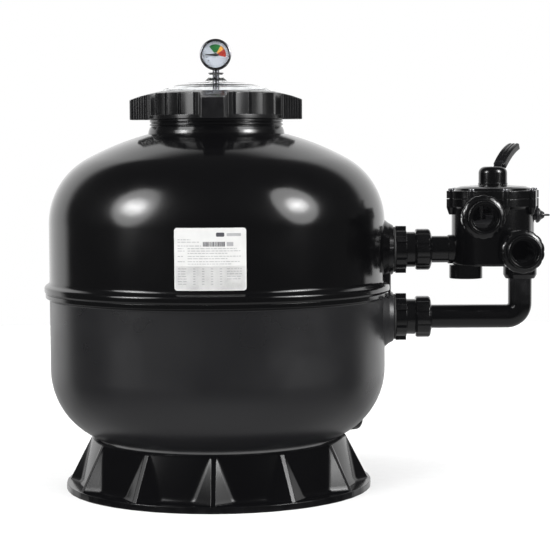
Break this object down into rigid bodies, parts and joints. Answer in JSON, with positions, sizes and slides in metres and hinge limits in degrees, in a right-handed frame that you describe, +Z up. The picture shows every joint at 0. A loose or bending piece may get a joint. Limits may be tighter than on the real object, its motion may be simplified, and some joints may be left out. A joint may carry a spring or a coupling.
{
  "type": "sand filter tank",
  "caption": "Pool sand filter: dished moulded tank on a faceted foot, clear lid with a gauge under a lugged ring, and a selector valve on the side.",
  "frame": {"origin": "on the floor, under the middle of the bounding box; the tank's axis is at x = -0.148 m", "axes": "+Z up, +X from the tank towards the selector valve, -Y towards the front with the label, the gauge face and the pipe ports"},
  "size_m": [0.935, 0.639, 0.8275],
  "materials": {
    "gloss_black": "glossy moulded black",
    "satin_black": "satin moulded black",
    "dark_grey": "semi-gloss charcoal",
    "black_rubber": "matt rubber",
    "clear_plastic": "clear polished",
    "gauge_metal": "dark satin metal",
    "steel": "stainless",
    "brass": "machined",
    "dial_white": "printed white",
    "needle_black": "matt black",
    "label_white": "printed vinyl",
    "white_plastic": "moulded white"
  },
  "bodies": {
    "tank": {"base_stand": "gloss_black", "lower_shell": "satin_black", "upper_shell": "gloss_black", "neck_collar": "gloss_black", "waste_adapter": "gloss_black", "rating_label": "label_white", "lid_gasket": "black_rubber", "upper_bulkhead": "gloss_black", "upper_wall_gasket": "black_rubber", "upper_lock_nut": "gloss_black", "upper_union_seal": "black_rubber", "upper_stub_pipe": "gloss_black", "lower_bulkhead": "gloss_black", "lower_wall_gasket": "black_rubber", "lower_lock_nut": "gloss_black", "lower_union_seal": "black_rubber", "lower_elbow_pipe": "gloss_black", "valve_body": "gloss_black", "valve_cover": "gloss_black", "cover_seal": "black_rubber", "cover_screw_1": "steel", "cover_screw_2": "steel", "cover_screw_3": "steel", "cover_screw_4": "steel", "cover_screw_5": "steel", "cover_screw_6": "steel", "cover_screw_7": "steel", "cover_screw_8": "steel", "spider_gasket": "black_rubber", "pump_union_seal": "black_rubber", "pump_tailpiece": "gloss_black", "return_union_seal": "black_rubber", "return_tailpiece": "gloss_black", "drain_seal": "black_rubber", "upper_riser": "white_plastic", "top_diffuser": "white_plastic", "lower_riser": "white_plastic", "lateral_manifold": "white_plastic"},
    "lid": {"clear_lid": "clear_plastic", "gauge_stem": "brass", "gauge_seal": "black_rubber", "gauge_case": "gauge_metal", "gauge_bourdon_tube": "brass", "gauge_dial": "dial_white", "gauge_window": "clear_plastic", "gauge_bezel": "gauge_metal"},
    "ring": {"lid_ring": "dark_grey"},
    "needle": {"gauge_needle": "needle_black"},
    "upper_nut": {"upper_union_nut": "gloss_black"},
    "lower_nut": {"lower_union_nut": "gloss_black"},
    "pump_nut": {"pump_union_nut": "gloss_black"},
    "return_nut": {"return_union_nut": "gloss_black"},
    "plug": {"bleed_plug": "satin_black"},
    "drain": {"drain_cap": "gloss_black"},
    "selector": {"selector_hub": "gloss_black", "lever_pin": "steel"},
    "lever": {"selector_lever": "dark_grey"},
    "rotor": {"selector_stem": "steel", "diverter": "satin_black", "selector_spring": "steel"}
  },
  "joints": [
    {"name": "lid_lift", "type": "slide", "parent": "tank", "child": "lid", "axis": [0, 0, 1], "range_m": [0, 0.12]},
    {"name": "ring_turn", "type": "hinge", "parent": "lid", "child": "ring", "pos_m": [-0.148, 0, 0.7], "axis": [0, 0, 1], "continuous": true},
    {"name": "needle_turn", "type": "hinge", "parent": "lid", "child": "needle", "pos_m": [-0.148, -0.009, 0.7987], "axis": [0, 1, 0], "range_deg": [-45, 225]},
    {"name": "upper_nut_turn", "type": "hinge", "parent": "tank", "child": "upper_nut", "pos_m": [0.232, 0, 0.438], "axis": [1, 0, 0], "continuous": true},
    {"name": "lower_nut_turn", "type": "hinge", "parent": "tank", "child": "lower_nut", "pos_m": [0.232, 0, 0.313], "axis": [1, 0, 0], "continuous": true},
    {"name": "pump_nut_turn", "type": "hinge", "parent": "tank", "child": "pump_nut", "pos_m": [0.3338, -0.1, 0.501], "axis": [0, 1, 0], "continuous": true},
    {"name": "return_nut_turn", "type": "hinge", "parent": "tank", "child": "return_nut", "pos_m": [0.4042, -0.1, 0.4386], "axis": [0, 1, 0], "continuous": true},
    {"name": "bleed_plug_turn", "type": "hinge", "parent": "tank", "child": "plug", "pos_m": [0.444, 0, 0.5005], "axis": [1, 0, 0], "continuous": true},
    {"name": "drain_cap_turn", "type": "hinge", "parent": "tank", "child": "drain", "pos_m": [0.10683, 0.12984, 0.1065], "axis": [0.891, 0.454, 0], "continuous": true},
    {"name": "selector_turn", "type": "hinge", "parent": "tank", "child": "selector", "pos_m": [0.3628, 0, 0.57], "axis": [0, 0, 1], "continuous": true},
    {"name": "lever_press", "type": "hinge", "parent": "selector", "child": "lever", "pos_m": [0.36863, 0.00933, 0.5785], "axis": [-0.848, 0.5299, 0], "range_deg": [0, 18], "stiffness_Nm_per_rad": 1.5, "springref_deg": -17.19},
    {"name": "stem_lift", "type": "slide", "parent": "selector", "child": "rotor", "axis": [0, 0, 1], "range_m": [0, 0.005], "deforming": ["selector_spring"]}
  ],
  "couplings": [
    {"joint": "stem_lift", "follows": "lever_press", "m_per_rad": 0.0159}
  ]
}
